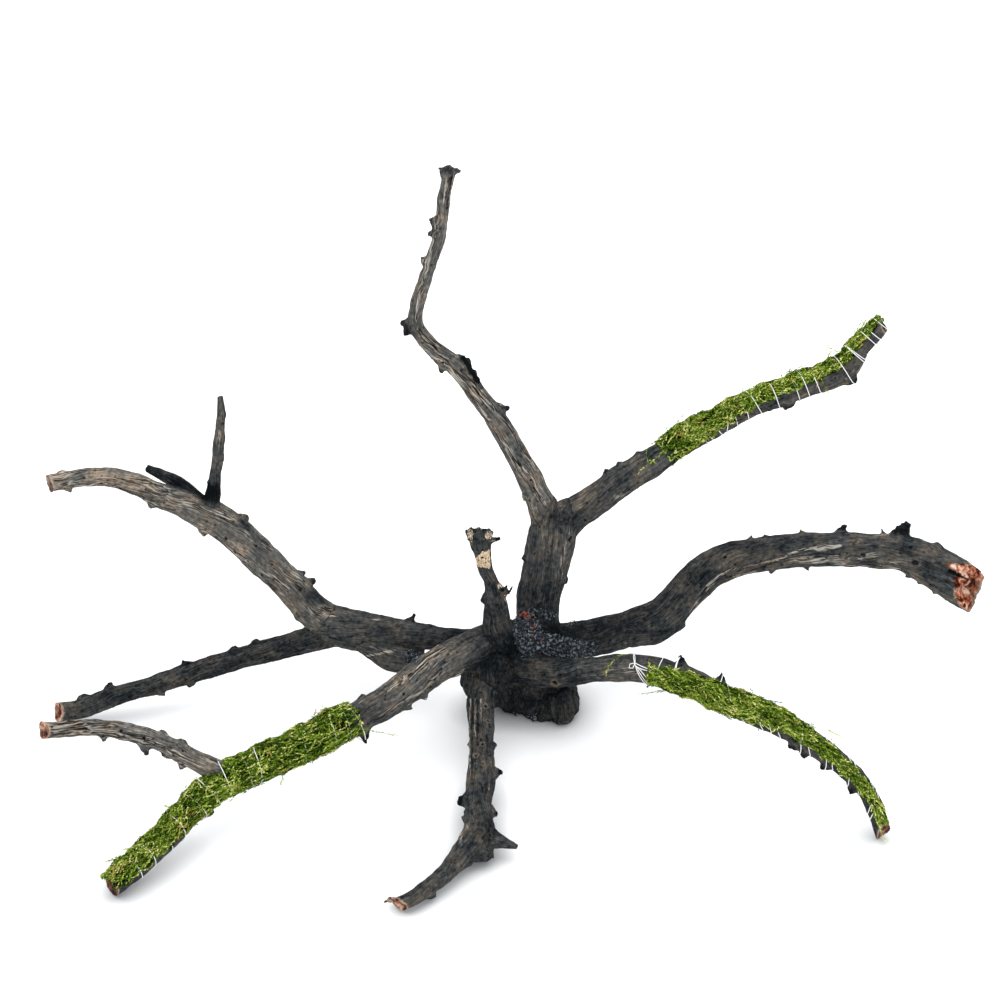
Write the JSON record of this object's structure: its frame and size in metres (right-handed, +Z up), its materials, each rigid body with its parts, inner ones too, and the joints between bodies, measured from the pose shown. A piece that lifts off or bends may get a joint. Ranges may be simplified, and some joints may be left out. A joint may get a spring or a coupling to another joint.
{
  "type": "bubble moss on driftwood",
  "caption": "Branching dark driftwood root with moss mats tied along its branches with white thread, an aquarium decoration that stands on its sawn stump and branch tips.",
  "frame": {"origin": "on the floor, under the stump's flat sawn underside", "axes": "+X to the right along the longest spread of the branches, +Y away from the viewer, +Z up"},
  "size_m": [0.2933, 0.1429, 0.1839],
  "materials": {
    "dark_wood": "dark water-stained bare wood, matte, with grain, knots and fibrous patches",
    "weathered_wood": "grey-brown weathered bare wood, matte, with long open grain",
    "moss": "living aquatic moss, matte green with yellow-green tips",
    "thread": "thin white cotton thread"
  },
  "bodies": {
    "root": {"stump": "dark_wood", "upright_stem": "dark_wood", "upper_right_branch": "dark_wood", "right_arm": "dark_wood", "right_lower_branch": "dark_wood", "front_leg": "dark_wood", "left_mossy_branch": "dark_wood", "left_back_arm": "dark_wood", "left_lower_limb": "dark_wood", "centre_stub": "dark_wood", "tall_branch": "weathered_wood", "left_side_branch": "weathered_wood", "left_upper_limb": "weathered_wood", "upright_twig": "weathered_wood", "moss_upper_right": "moss", "moss_lower_right": "moss", "moss_left": "moss", "thread_upper_right": "thread", "thread_lower_right": "thread", "thread_left": "thread"}
  },
  "joints": []
}
